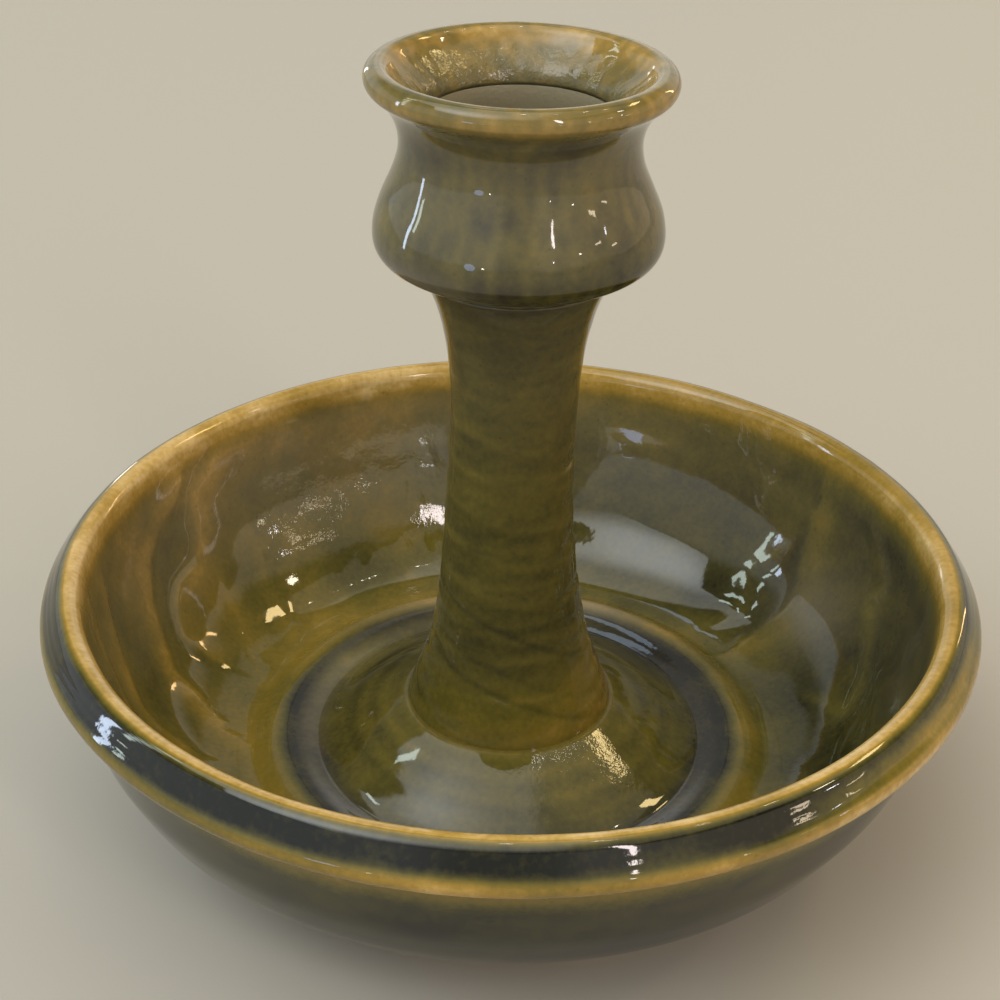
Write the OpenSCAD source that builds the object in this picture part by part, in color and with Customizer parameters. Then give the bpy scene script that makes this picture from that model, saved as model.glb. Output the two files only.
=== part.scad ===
// Hand-thrown chamber candlestick: a deep saucer dish, a waisted stem and a socket cup,
// thrown apart, luted together with slip and dipped in one glaze.
// Millimetres. +Z is up, and the origin is the middle of the foot, on the table.
// Sizes are of the glazed piece, and the clay lies under the coat.

/* [Dish] */
// Width over the glazed rim
dish_d = 140; // [117:1:168]
// Height of the rim above the table
dish_h = 42.3; // [35:0.1:51]
// Width of the turned foot
foot_d = 86; // [78:1:94]
// Height of the turned foot, up to the glaze line
foot_h = 2.6; // [2.2:0.1:3.4]
// Width of the foot's standing ring
foot_w = 5.5; // [4:0.5:8]
// Depth of the turned recess inside the foot
foot_recess = 2.2; // [1:0.1:2.8]
// Width of the vent hole through the floor, under the hollow stem
vent_d = 4; // [3:0.5:6]

/* [Dish rim] */
// From the inner wall to the outermost edge of the rolled rim
rim_w = 6.2; // [5.8:0.1:8]
// Rounding of the rim's crest
rim_crest_r = 2.1; // [1.8:0.1:2.4]
// Rounding of the rim's outer edge
rim_edge_r = 2; // [1.6:0.1:2.4]
// From the crest's rounding down to the edge's rounding
rim_drop = 2.8; // [2.2:0.1:3.4]
// How far the rim stands out from the wall below it
rim_lip = 3.3; // [2.8:0.1:3.8]
// From the rim's edge rounding down to the wall below it
rim_under = 3.6; // [3:0.1:4.4]

/* [Dish floor] */
// Radius of the gutter at the foot of the inner wall
gutter_r = 41.5; // [40:0.5:44]
// Height of the gutter
gutter_h = 8.6; // [8:0.1:9.6]
// Radius of the shoulder ring that a finger left round the well
ring_r = 37.2; // [35.5:0.1:38.5]
// Height of the shoulder ring
ring_h = 10.3; // [9.8:0.1:11]
// Radius of the well's edge, where the domed floor starts
well_r = 30.3; // [26:0.1:32]
// Height of the well's edge
well_h = 8.9; // [8:0.1:9.5]
// Height of the domed floor at the foot of the stem
dome_h = 15.5; // [13:0.1:18]

/* [Stem] */
// Height of the joint between the stem and the cup
joint_h = 88.3; // [73:0.1:107]
// Width of the stem at that joint
joint_d = 26.4; // [23:0.1:29]
// Width of the waist
waist_d = 18.3; // [15.5:0.1:20.5]
// From the waist up to the joint
waist_drop = 23.8; // [18:0.1:30]
// Width of the stem just above the coil round its foot
stem_foot_d = 25.6; // [24:0.1:28]
// Width of the coil's ledge on the dish floor
coil_d = 31.4; // [30:0.1:36]
// Height of the ledge above the floor
ledge_h = 1.2; // [0.8:0.1:1.6]
// Height of the coil above the floor
coil_h = 10; // [8:0.1:13]
// Width of the hollow left up the middle of the stem
bore_d = 8; // [5:0.5:11]
// Clay that closes the top of the hollow
bore_cap = 6; // [4:0.5:12]

/* [Candle cup] */
// Width of the straight throat that holds the candle
socket_d = 25; // [21:0.1:30]
// Length of the straight throat
throat_l = 6; // [5:0.1:8]
// Thickness of the cup's clay
cup_wall = 3.4; // [2.8:0.1:4]
// How far the belly swells beyond the neck
belly_swell = 3.7; // [2.5:0.1:5]
// From the joint up to the widest part of the belly
belly_rise = 6; // [5.4:0.1:8]
// From the joint up to the narrowest part of the neck
neck_rise = 19; // [17:0.1:21]
// From the joint up to the top of the lip
cup_h = 29.2; // [28:0.1:32]
// Roundness of the rolled lip
lip_r = 1.9; // [1.6:0.1:2.2]
// How far the lip stands out from the neck
lip_out = 4.4; // [4:0.1:5.4]
// Depth of the funnel from the lip down to the throat
funnel_h = 6.9; // [6:0.1:8]
// Thickness of the cup's floor
cup_floor = 3.6; // [3:0.1:4.5]

/* [Glaze and slip] */
// Thickness of the glaze
glaze_t = 0.5; // [0.4:0.05:0.7]
// Extra glaze that pools at the well's edge
pool_t = 0.7; // [0:0.1:1.2]
// Width over which the pool fades
pool_w = 3; // [2:0.5:5]
// Width over which the coat thins beside a crest
thin_w = 1.6; // [1.2:0.1:2]
// Thickness of the slip in a joint
slip_t = 0.8; // [0.6:0.1:1.2]

/* [Hidden] */
$fn = 96;
clay_colour = "#b3946c";
slip_colour = "#c8b08c";
glaze_colour = "#4a421d";
lip_glaze_colour = "#5c5228";
// How far a cut runs past the face that it opens
overrun = 1;
// Share of the coat that is left on a crest, where the glaze runs off
crest_coat_share = 0.5;
// Pull of a curve's ends, as shares of the straight line between them
soft_share = 0.36;
short_share = 0.2;
firm_share = 0.42;
long_share = 0.55;
// Height of the cavity's widest part, as a share of the way from the cup's floor to the throat
cavity_rise_share = 0.3;
// Steps of a long curve and of a rounding
curve_steps = 12;
round_steps = 6;

rim_r = dish_d / 2;
foot_r = foot_d / 2;
socket_r = socket_d / 2;
joint_r = joint_d / 2;
coil_r = coil_d / 2;
bore_r = bore_d / 2;
waist_h = joint_h - waist_drop;
floor_h = dome_h - glaze_t;
coil_top_h = dome_h + coil_h;

// Polar step: a point at a distance and an angle
function polar(r, a) = r * [cos(a), sin(a)];

// Points of a rounding about c, without its first point
function rounding(c, r, a0, a1, n = round_steps) = [for (i = [1:n]) c + polar(r, a0 + (a1 - a0) * i / n)];

// Points of a curve from p to q that leaves at angle pa and arrives at angle qa, without its first
// point. The pulls are shares of the straight line between them.
function curve(p, pa, q, qa, p_share = soft_share, q_share = soft_share, n = curve_steps) =
    let (l = norm(q - p), a = p + polar(l * p_share, pa), b = q - polar(l * q_share, qa))
    [for (i = [1:n]) let (t = i / n, s = 1 - t)
        s * s * s * p + 3 * s * s * t * a + 3 * s * t * t * b + t * t * t * q];

function reversed(pts) = [for (i = [len(pts) - 1:-1:0]) pts[i]];

// A list with its last point left out
function but_last(pts) = [for (i = [0:len(pts) - 2]) pts[i]];

// Bell that is 1 at no distance and fades over the width w
function near(distance, w) = exp(-pow(distance / w, 2));

// The clay's outline under the skin pts: each point moves in, to the left of the way that the
// outline runs, by its own thickness of glaze
function under(pts, coats) = [for (i = [0:len(pts) - 1])
    let (way = pts[min(i + 1, len(pts) - 1)] - pts[max(i - 1, 0)])
    pts[i] + coats[i] * [-way.y, way.x] / norm(way)];

// Thickness of the coat at p, thinner within thin_w of a crest
function thinned(p, crest) = glaze_t * (1 - (1 - crest_coat_share) * near(norm(p - crest), thin_w));

// Dish skin
// It runs from the glaze line up the outer wall, over the rim, down to the floor and in to the stem.
crest_c = [rim_r - rim_w + rim_crest_r, dish_h - rim_crest_r];
edge_c = [rim_r - rim_edge_r, crest_c.y - rim_drop];
wall_top = [rim_r - rim_lip, edge_c.y - rim_under];
rim_fall_a = 90 + atan2(edge_c.y - crest_c.y, edge_c.x - crest_c.x);
wall_foot_a = 32;
wall_top_a = 77;
inner_wall_a = 172;
rim_under_a = -80;
glaze_line = [foot_r, foot_h];
rim_under_p = edge_c + polar(rim_edge_r, rim_under_a);
crest_in_p = crest_c + polar(rim_crest_r, inner_wall_a);
gutter_p = [gutter_r, gutter_h];
ring_p = [ring_r, ring_h];
well_p = [well_r, well_h];
well_fall_a = 205;
dome_rise_a = 152;
dome_top_a = 166;

dish_skin = concat(
    [glaze_line],
    curve(glaze_line, wall_foot_a, wall_top, wall_top_a, firm_share, firm_share),
    curve(wall_top, wall_top_a, rim_under_p, rim_under_a + 90, n = round_steps),
    rounding(edge_c, rim_edge_r, rim_under_a, rim_fall_a),
    [crest_c + polar(rim_crest_r, rim_fall_a)],
    rounding(crest_c, rim_crest_r, rim_fall_a, inner_wall_a),
    curve(crest_in_p, inner_wall_a + 90, gutter_p, 180),
    curve(gutter_p, 180, ring_p, 180, n = round_steps),
    curve(ring_p, 180, well_p, well_fall_a, n = round_steps),
    curve(well_p, dome_rise_a, [coil_r, dome_h], dome_top_a));

// The coat starts from nothing at the glaze line and pools at the well's edge
dish_crest = crest_c + polar(rim_crest_r, 90);
dish_edge = edge_c + polar(rim_edge_r, 0);
function dish_coat(i, p) = i == 0 ? 0
    : min(thinned(p, dish_crest), thinned(p, dish_edge), thinned(p, ring_p))
    + pool_t * near(p.x - well_r, pool_w);
dish_under = concat(
    but_last(under(dish_skin, [for (i = [0:len(dish_skin) - 1]) dish_coat(i, dish_skin[i])])),
    [[coil_r, floor_h]]);

// Stem skin
// It runs from the dish floor up the coil's ledge and the stem to the joint under the cup.
ledge_p = [coil_r, dome_h + ledge_h];
stem_foot_p = [stem_foot_d / 2, coil_top_h];
waist_p = [waist_d / 2, waist_h];
stem_top_p = [joint_r, joint_h - slip_t / 2];
ledge_a = 102;
stem_foot_a = 108;
stem_top_a = 62;

coil_skin = concat(
    [[coil_r, floor_h], ledge_p],
    curve(ledge_p, ledge_a, stem_foot_p, stem_foot_a, n = round_steps));
shaft_skin = concat(
    [stem_foot_p],
    curve(stem_foot_p, stem_foot_a, waist_p, 90, short_share, soft_share),
    curve(waist_p, 90, stem_top_p, stem_top_a, long_share, short_share));
stem_skin = concat(but_last(coil_skin), shaft_skin);
stem_under_all = under(stem_skin, [for (p = stem_skin) glaze_t]);
stem_under = concat(
    [[coil_r - glaze_t, floor_h]],
    [for (i = [1:len(stem_skin) - 2]) stem_under_all[i]],
    [[joint_r - glaze_t, stem_top_p.y]]);
// The clay stem stands inside the coil, on its bed of slip
coil_count = len(coil_skin);
foot_under_p = stem_under[coil_count - 1];
stem_clay_r = foot_under_p.x;
stem_bed_h = floor_h + slip_t;
bore_top_h = stem_top_p.y - bore_cap;

// Cup skin
// It runs from the joint under the belly, up the outside, over the lip and down the funnel.
neck_r = socket_r + cup_wall + glaze_t;
belly_r = neck_r + belly_swell;
lip_c = [neck_r + lip_out - lip_r, joint_h + cup_h - lip_r];
cup_foot_p = [joint_r, joint_h + slip_t / 2];
belly_p = [belly_r, joint_h + belly_rise];
neck_p = [neck_r, joint_h + neck_rise];
throat_p = [socket_r, joint_h + cup_h - funnel_h];
throat_foot_p = [socket_r, throat_p.y - throat_l];
underbelly_a = 22;
lip_under_a = -55;
lip_in_a = 150;
cavity_r = belly_r - glaze_t - cup_wall;
cup_floor_h = cup_foot_p.y + cup_floor;
cup_floor_r = socket_r - cup_wall / 2;
cavity_p = [cavity_r, cup_floor_h + cavity_rise_share * (throat_foot_p.y - cup_floor_h)];

cup_skin = concat(
    [cup_foot_p],
    curve(cup_foot_p, underbelly_a, belly_p, 90, long_share, soft_share),
    curve(belly_p, 90, neck_p, 90),
    curve(neck_p, 90, lip_c + polar(lip_r, lip_under_a), lip_under_a + 90, n = round_steps),
    rounding(lip_c, lip_r, lip_under_a, lip_in_a, n = 2 * round_steps),
    curve(lip_c + polar(lip_r, lip_in_a), lip_in_a + 90, throat_p, 270, n = round_steps));
lip_crest = lip_c + polar(lip_r, 90);
cup_under = concat(
    [[joint_r - glaze_t, cup_foot_p.y]],
    let (inset = under(cup_skin, [for (p = cup_skin) thinned(p, lip_crest)]))
    [for (i = [1:len(cup_skin) - 2]) inset[i]],
    [throat_p]);

// The dish of thrown clay, with its turned foot bare of glaze
module dish() {
    foot_in_r = foot_r - foot_w;
    foot_outline = [
        [0, foot_recess],
        [foot_in_r - foot_recess, foot_recess],
        [foot_in_r, 0],
        [foot_r - foot_recess / 2, 0],
        [foot_r, foot_recess / 2]];
    color(clay_colour) difference() {
        rotate_extrude() polygon(concat(foot_outline, dish_under, [[0, floor_h]]));
        translate([0, 0, -overrun]) cylinder(d = vent_d, h = floor_h + 2 * overrun);
    }
}

// The thrown column, with a hollow up its middle that stops short of the joint
module stem() {
    shaft_under = [for (i = [coil_count - 1:len(stem_under) - 1]) stem_under[i]];
    color(clay_colour) rotate_extrude() polygon(concat(
        [[bore_r, stem_bed_h], [stem_clay_r, stem_bed_h]],
        shaft_under,
        [[0, stem_top_p.y], [0, bore_top_h], [bore_r, bore_top_h - bore_r]]));
}

// The socket cup: a throat for the candle above a wider hollow
module candle_cup() {
    cavity = concat(
        [throat_foot_p],
        curve(throat_foot_p, 270, cavity_p, 270),
        curve(cavity_p, 270, [cup_floor_r, cup_floor_h], 180));
    color(clay_colour) rotate_extrude()
        polygon(concat([[0, cup_foot_p.y]], cup_under, cavity, [[0, cup_floor_h]]));
}

// The coil of clay smoothed into the angle round the foot of the stem
module stem_foot_coil() {
    coil_under = [for (i = [0:coil_count - 1]) stem_under[i]];
    color(clay_colour) rotate_extrude() polygon(concat([[stem_clay_r, floor_h]], coil_under));
}

// The bed of slip that fixes the stem on the dish, open in the middle for the vent
module stem_joint_slip() {
    color(slip_colour) translate([0, 0, floor_h]) difference() {
        cylinder(r = stem_clay_r, h = slip_t);
        translate([0, 0, -overrun]) cylinder(r = bore_r, h = slip_t + 2 * overrun);
    }
}

// The layer of slip that fixes the cup on the stem
module cup_joint_slip() {
    color(slip_colour) translate([0, 0, stem_top_p.y]) cylinder(r = joint_r - glaze_t, h = slip_t);
}

// The glaze over the dish, from the glaze line above the foot to the coil
module dish_glaze() {
    color(glaze_colour) rotate_extrude()
        polygon(concat(dish_skin, reversed([for (i = [1:len(dish_under) - 1]) dish_under[i]])));
}

// The glaze up the coil and the stem, to the middle of the upper joint
module stem_glaze() {
    color(glaze_colour) rotate_extrude() polygon(concat(
        stem_skin,
        [[joint_r, joint_h], [joint_r - glaze_t, joint_h]],
        reversed(stem_under)));
}

// The glaze over the cup, from the middle of the joint to the top of the throat
module cup_glaze() {
    color(lip_glaze_colour) rotate_extrude() polygon(concat(
        [[joint_r, joint_h]],
        but_last(cup_skin),
        reversed(cup_under),
        [[joint_r - glaze_t, joint_h]]));
}

dish();
stem();
candle_cup();
stem_foot_coil();
stem_joint_slip();
cup_joint_slip();
dish_glaze();
stem_glaze();
cup_glaze();
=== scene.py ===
# %% [markdown]
# # A hand-thrown candlestick under an olive glaze
# The piece is a chamber candlestick: a saucer dish, a waisted stem and a cup for the candle. The drawing
# of its parts comes first, as a frame that never moves. Everything shown here is thrown again
# over that frame, with the marks of hand and glaze that a drawing leaves out.

# %% The fixed frame
from math import cos, pi, radians, sin

import bpy
import numpy as np
from mathutils import Matrix, Vector


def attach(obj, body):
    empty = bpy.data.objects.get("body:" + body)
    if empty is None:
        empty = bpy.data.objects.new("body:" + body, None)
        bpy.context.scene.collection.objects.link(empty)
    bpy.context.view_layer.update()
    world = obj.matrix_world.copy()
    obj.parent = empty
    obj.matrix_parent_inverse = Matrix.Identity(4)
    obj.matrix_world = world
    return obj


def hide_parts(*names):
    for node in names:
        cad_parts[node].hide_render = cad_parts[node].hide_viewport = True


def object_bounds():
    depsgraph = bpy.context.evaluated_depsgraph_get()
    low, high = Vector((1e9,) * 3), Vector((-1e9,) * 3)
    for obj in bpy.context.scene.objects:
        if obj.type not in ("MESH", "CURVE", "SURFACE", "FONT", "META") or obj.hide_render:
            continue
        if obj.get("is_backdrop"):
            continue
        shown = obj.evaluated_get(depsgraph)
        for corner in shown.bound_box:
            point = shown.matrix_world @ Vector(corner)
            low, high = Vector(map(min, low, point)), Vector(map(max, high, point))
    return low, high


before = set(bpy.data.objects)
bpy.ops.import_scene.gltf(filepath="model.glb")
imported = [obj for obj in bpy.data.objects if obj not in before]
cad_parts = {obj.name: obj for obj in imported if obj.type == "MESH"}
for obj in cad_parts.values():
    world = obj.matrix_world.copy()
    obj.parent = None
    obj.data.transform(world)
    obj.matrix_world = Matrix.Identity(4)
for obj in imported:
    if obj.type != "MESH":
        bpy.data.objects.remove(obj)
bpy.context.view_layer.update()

MM = 0.001
BODY = "root"
print("nodes", sorted(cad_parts))

# %% [markdown]
# ## The camera
# The photograph was taken close by and from a little above, tilted down by about 30 degrees and rolled by
# one. From so near, the rim, the well and the lip show as ellipses of quite different shapes, and
# the lens, the place and the tilt are all set from those.

# %% Camera
CAMERA_PLACE = Vector((0, -0.2367, 0.1896))
PITCH, YAW, ROLL = radians(30.3), radians(-0.46), radians(1.0)
FOCAL_PIXELS, PICTURE_PIXELS, SENSOR = 1843, 1000, 36

look_way = Vector((sin(YAW) * cos(PITCH), cos(YAW) * cos(PITCH), -sin(PITCH)))
level_right = Vector((cos(YAW), -sin(YAW), 0))
level_up = level_right.cross(look_way)
right_way = cos(ROLL) * level_right + sin(ROLL) * level_up
up_way = -sin(ROLL) * level_right + cos(ROLL) * level_up

camera_data = bpy.data.cameras.new("camera")
camera_data.sensor_width = SENSOR
camera_data.lens = FOCAL_PIXELS / PICTURE_PIXELS * SENSOR
camera_data.clip_start = 0.01
camera = bpy.data.objects.new("camera", camera_data)
bpy.context.scene.collection.objects.link(camera)
camera_axes = Matrix((right_way, up_way, -look_way)).transposed().to_4x4()
camera.matrix_world = Matrix.Translation(CAMERA_PLACE) @ camera_axes
bpy.context.scene.camera = camera
print("lens", round(camera_data.lens, 2), "mm")

# %% [markdown]
# ## Outlines
# A thrown pot is a turned shape: one outline swept round an axis. The outline is drawn here with the same
# sizes as the frame, in millimetres, from three strokes: a rounding, a smooth curve
# between two points that leaves and arrives at chosen angles, and a straight line. A curve
# object traced by eye would be quicker, but strokes with sizes keep exactly to the drawing.


# %% Strokes of an outline
def polar(r, a):
    """The step of length r at the angle a, in degrees."""
    return r * np.array([cos(radians(a)), sin(radians(a))])


def rounding(c, r, a0, a1, n=24):
    """Points round c from angle a0 to a1, in degrees."""
    return [c + polar(r, a0 + (a1 - a0) * i / n) for i in range(n + 1)]


def curve(p, pa, q, qa, p_share=0.36, q_share=0.36, n=60):
    """Points of a curve from p to q that leaves at angle pa and arrives at angle qa."""
    p, q = np.array(p, float), np.array(q, float)
    length = np.linalg.norm(q - p)
    a, b = p + polar(length * p_share, pa), q - polar(length * q_share, qa)
    return [(1 - t) ** 3 * p + 3 * (1 - t) ** 2 * t * a + 3 * (1 - t) * t * t * b + t ** 3 * q
            for t in np.linspace(0, 1, n + 1)]


class Skin:
    """An outline of the glazed surface, with its length and its outward normal at each point."""

    def __init__(self, *strokes):
        points = [np.array(p, float) for stroke in strokes for p in stroke]
        keep = [points[0]] + [b for a, b in zip(points, points[1:]) if np.linalg.norm(b - a) > 1e-6]
        self.points = np.array(keep)
        steps = np.linalg.norm(np.diff(self.points, axis=0), axis=1)
        self.along = np.concatenate([[0], np.cumsum(steps)])
        self.length = self.along[-1]
        way = np.gradient(self.points, self.along, axis=0)
        way /= np.linalg.norm(way, axis=1)[:, None]
        self.normals = np.stack([way[:, 1], -way[:, 0]], axis=1)

    def at(self, s):
        """Point and normal at the length s."""
        place = np.stack([np.interp(s, self.along, self.points[:, k]) for k in (0, 1)], axis=-1)
        normal = np.stack([np.interp(s, self.along, self.normals[:, k]) for k in (0, 1)], axis=-1)
        return place, normal / np.linalg.norm(normal, axis=-1, keepdims=True)

    def where(self, p):
        """The length at which the outline passes nearest to p."""
        return self.along[np.linalg.norm(self.points - np.array(p), axis=1).argmin()]


# %% The dish's outline
RIM_R, DISH_H = 70, 42.3
FOOT_R, FOOT_H, FOOT_W, FOOT_RECESS, VENT_R = 43, 2.6, 5.5, 2.2, 2
CREST_R, EDGE_R = 2.1, 2
crest_c = np.array([RIM_R - 6.2 + CREST_R, DISH_H - CREST_R])
edge_c = np.array([RIM_R - EDGE_R, crest_c[1] - 2.8])
wall_top = np.array([RIM_R - 3.3, edge_c[1] - 3.6])
RIM_FALL = 90 + np.degrees(np.arctan2(edge_c[1] - crest_c[1], edge_c[0] - crest_c[0]))
RIM_UNDER, INNER_WALL = -80, 172
rim_under = edge_c + polar(EDGE_R, RIM_UNDER)
crest_in = crest_c + polar(CREST_R, INNER_WALL)
GUTTER, RING, WELL = (41.5, 8.6), (37.2, 10.3), (30.3, 8.9)
COIL_R, DOME_H = 15.7, 15.5
glaze_line = (FOOT_R, FOOT_H)

dish_skin = Skin(
    curve(glaze_line, 32, wall_top, 77, 0.42, 0.42),
    curve(wall_top, 77, rim_under, RIM_UNDER + 90, n=20),
    rounding(edge_c, EDGE_R, RIM_UNDER, RIM_FALL),
    rounding(crest_c, CREST_R, RIM_FALL, INNER_WALL),
    curve(crest_in, INNER_WALL + 90, GUTTER, 180),
    curve(GUTTER, 180, RING, 180, n=24),
    curve(RING, 180, WELL, 205, n=24),
    curve(WELL, 152, (COIL_R, DOME_H), 166),
)
print("dish outline", round(dish_skin.length, 1), "mm")

# %% The stem's and the cup's outlines
GLAZE_T, SLIP_T = 0.5, 0.8
JOINT_R, JOINT_H = 13.2, 88.3
LEDGE = (COIL_R, DOME_H + 1.2)
STEM_FOOT, WAIST = (12.8, DOME_H + 10), (9.15, JOINT_H - 23.8)
stem_skin = Skin(
    [(COIL_R, DOME_H), LEDGE],
    curve(LEDGE, 102, STEM_FOOT, 108, n=24),
    curve(STEM_FOOT, 108, WAIST, 90, 0.2, 0.36),
    curve(WAIST, 90, (JOINT_R, JOINT_H - SLIP_T / 2), 62, 0.55, 0.2),
    [(JOINT_R, JOINT_H)],
)
SOCKET_R, CUP_WALL, THROAT_L, CUP_FLOOR = 12.5, 3.4, 6, 3.6
NECK_R = SOCKET_R + CUP_WALL + GLAZE_T
BELLY_R = NECK_R + 3.7
LIP_R = 1.9
lip_c = np.array([NECK_R + 4.4 - LIP_R, JOINT_H + 29.2 - LIP_R])
CUP_FOOT, BELLY, NECK = (JOINT_R, JOINT_H + SLIP_T / 2), (BELLY_R, JOINT_H + 6), (NECK_R, JOINT_H + 19)
THROAT = (SOCKET_R, JOINT_H + 29.2 - 6.9)
LIP_UNDER, LIP_IN = -55, 150
cup_skin = Skin(
    [(JOINT_R, JOINT_H), CUP_FOOT],
    curve(CUP_FOOT, 22, BELLY, 90, 0.55, 0.36),
    curve(BELLY, 90, NECK, 90),
    curve(NECK, 90, lip_c + polar(LIP_R, LIP_UNDER), LIP_UNDER + 90, n=24),
    rounding(lip_c, LIP_R, LIP_UNDER, LIP_IN, n=40),
    curve(lip_c + polar(LIP_R, LIP_IN), LIP_IN + 90, THROAT, 270, n=30),
)
S_BELLY, S_NECK = cup_skin.where(BELLY), cup_skin.where(NECK)
print("stem outline", round(stem_skin.length, 1), "mm, cup outline", round(cup_skin.length, 1), "mm")

# %% [markdown]
# ## Marks of the hand and of the glaze
# Two things make this piece look thrown and not machined. The clay keeps the spiral of the fingers, an
# uneven rim and a dent or two. The glaze ran while it was molten: it left crests thin and stood in
# thick curtains on the inner wall, and those soft swells are what bends every reflection.
# Both are written as small heights, in millimetres, over the angle round the piece and
# the length along its outline, and every clay and glaze surface reads the same ones.


# %% Tools for heights
def ripples(points, size, seed, waves=16):
    """A soft random height from about -1 to 1 whose swells are about `size` mm wide."""
    draw = np.random.RandomState(seed)
    ways = draw.normal(size=(waves, 3))
    ways /= np.linalg.norm(ways, axis=1)[:, None]
    ways *= (2 * pi / size * draw.uniform(0.6, 1.3, waves))[:, None]
    starts = draw.uniform(0, 2 * pi, waves)
    return np.sin(points @ ways.T + starts).sum(axis=1) / np.sqrt(waves)


def bell(x, width):
    """1 at 0, and fading out over width to both sides."""
    return np.exp(-(x / width) ** 2)


def ramp(x, low, high):
    """0 below low, 1 above high, and smooth between them."""
    t = np.clip((x - low) / (high - low), 0, 1)
    return t * t * (3 - 2 * t)


def turn_from(angle, centre):
    """Degrees from centre to angle the short way round."""
    return (angle - centre + 180) % 360 - 180


def facing(angle, centre, width):
    """1 where the piece faces the angle centre, fading out over width degrees to both sides."""
    return bell(turn_from(angle, centre), width)


def steps(s, table):
    """A value along an outline, from a table of (length, value)."""
    places, values = zip(*table)
    return np.interp(s, places, values)


# %% Places along the dish's outline
S_WALL_TOP = dish_skin.where(wall_top)
S_EDGE = dish_skin.where(edge_c + polar(EDGE_R, 0))
S_CREST = dish_skin.where(crest_c + polar(CREST_R, 90))
S_CREST_IN = dish_skin.where(crest_in)
S_GUTTER, S_RING, S_WELL = dish_skin.where(GUTTER), dish_skin.where(RING), dish_skin.where(WELL)
S_BAND = S_EDGE + 3.1
inside = (dish_skin.along >= S_CREST) & (dish_skin.along <= S_GUTTER)
inner_heights = dish_skin.points[:, 1][inside][::-1]
inner_lengths = dish_skin.along[inside][::-1]


def inner_s(z):
    """Length along the outline at the height z on the inner wall."""
    return np.interp(z, inner_heights, inner_lengths)


print("wall top, edge, crest, gutter, ring, well at",
      [round(x, 1) for x in (S_WALL_TOP, S_EDGE, S_CREST, S_GUTTER, S_RING, S_WELL)])

# %% [markdown]
# ### Runs of glaze
# A run is a curtain of glaze that crept down the wall and froze. Noise alone gives no such drips, so each is
# placed where it hangs: by the points that its middle passes, as angle and height, with its half width
# and its thickness. Where two runs meet, the valley between them shows as a fine bent line of light.

# %% Runs on the inner wall: (angle, height) from the top down, half width, thickness
RUNS = [
    ([(-14, 36), (-12, 24), (-18, 12)], 8.0, 0.22),
    ([(58, 36), (56, 24), (60, 12)], 8.5, 0.22),
    ([(84, 35), (82, 22), (80, 12)], 8.0, 0.20),
    ([(104, 36), (101, 22), (103, 12)], 7.5, 0.22),
    ([(126, 38), (128, 26), (122, 12)], 8.0, 0.24),
    ([(207, 35), (204, 24), (208, 12)], 6.5, 0.30),
    ([(229, 35), (232, 22), (226, 12)], 7.5, 0.30),
    ([(252, 36), (249, 22), (254, 12)], 8.0, 0.28),
    ([(275, 35), (278, 22), (273, 12)], 7.5, 0.28),
    ([(300, 36), (297, 24), (302, 12)], 8.0, 0.30),
    ([(325, 35), (328, 22), (322, 12)], 7.5, 0.28),
]
print(len(RUNS), "runs of glaze")


def run_heights(angle, s, place):
    """Thickness of all runs, in mm. Each fades out below the rim and in the gutter."""
    total = np.zeros(len(s))
    for points, width, thickness in RUNS:
        lengths = inner_s(np.array([z for _, z in points]))
        middle = np.interp(s, lengths, [a for a, _ in points])
        across = np.radians(turn_from(angle, middle)) * place[:, 0]
        fade = ramp(s, lengths[0] - 9, lengths[0] + 2) * (1 - ramp(s, S_GUTTER - 1, S_GUTTER + 4))
        total += thickness * bell(across, width) * fade
    return total


# %% Folds: the steep edges of curtains, as (angle, height) from the top down
# Then the height of the step, the width of the steep side, and the width of the soft side, which lies
# towards greater angles when it is positive.
FOLDS = [
    ([(19, 34), (14, 31), (12, 28.5), (14, 25.5), (11, 23.5), (5, 19.5),
      (2, 17), (-1, 14.5), (0, 13), (4, 12.3), (8, 11)], 0.24, 0.9, 2.6),
    ([(33, 30), (32, 24), (30, 19), (29, 15), (30, 12), (31, 9.5)], 0.34, 1.5, -8.0),
    ([(35, 31), (36.5, 24), (39, 19), (41, 17), (40, 14.5), (38, 12.5), (38, 11), (40, 9.5)], 0.16, 1.2, 3.0),
    ([(45, 33), (50, 31.8), (60, 31.5), (70, 31)], 0.10, 1.6, 5.0),
    ([(141, 38), (144, 36.5), (150, 32.8), (151, 29), (152, 25), (154, 22.5),
      (160, 21.8), (163, 20), (166, 16.5), (165, 12)], 0.30, 1.1, -6.0),
    ([(152, 37), (155, 34), (160, 31.7), (164, 29), (168, 24), (170, 21),
      (172, 18), (175, 15), (176, 11.5), (181, 9.3)], 0.32, 1.1, 5.0),
    ([(179, 33), (182, 27), (185, 22), (189, 18), (191, 12)], 0.30, 1.0, 4.5),
    ([(187, 35), (189, 29), (192, 23), (197, 16)], 0.28, 1.0, 4.5),
    ([(152, 16), (152, 13), (154, 11), (158, 9.6)], 0.16, 1.0, -3.5),
    ([(141, 20), (142, 15), (143, 11), (146, 9)], 0.18, 1.4, 3.5),
    ([(132, 39), (127, 36), (124, 33.5), (122, 31)], 0.16, 1.3, 4.0),
    ([(116, 14.5), (120, 16), (126, 17.2), (132, 17.8)], 0.12, 1.0, 2.5),
    ([(-48, 36), (-44, 28), (-50, 20), (-46, 12)], 0.28, 1.3, 6.0),
    ([(-75, 36), (-80, 27), (-74, 18), (-80, 10)], 0.26, 1.3, -6.0),
    ([(-106, 36), (-101, 26), (-108, 17), (-104, 10)], 0.28, 1.3, 6.0),
    ([(-133, 36), (-138, 27), (-131, 18), (-136, 10)], 0.28, 1.3, -6.0),
]
print(len(FOLDS), "folds")

# %% Height of the folds
# How far round its middle a fold is looked for, in mm, and a distance larger than any there
FOLD_REACH, FAR_AWAY = 35, 99.0


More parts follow.
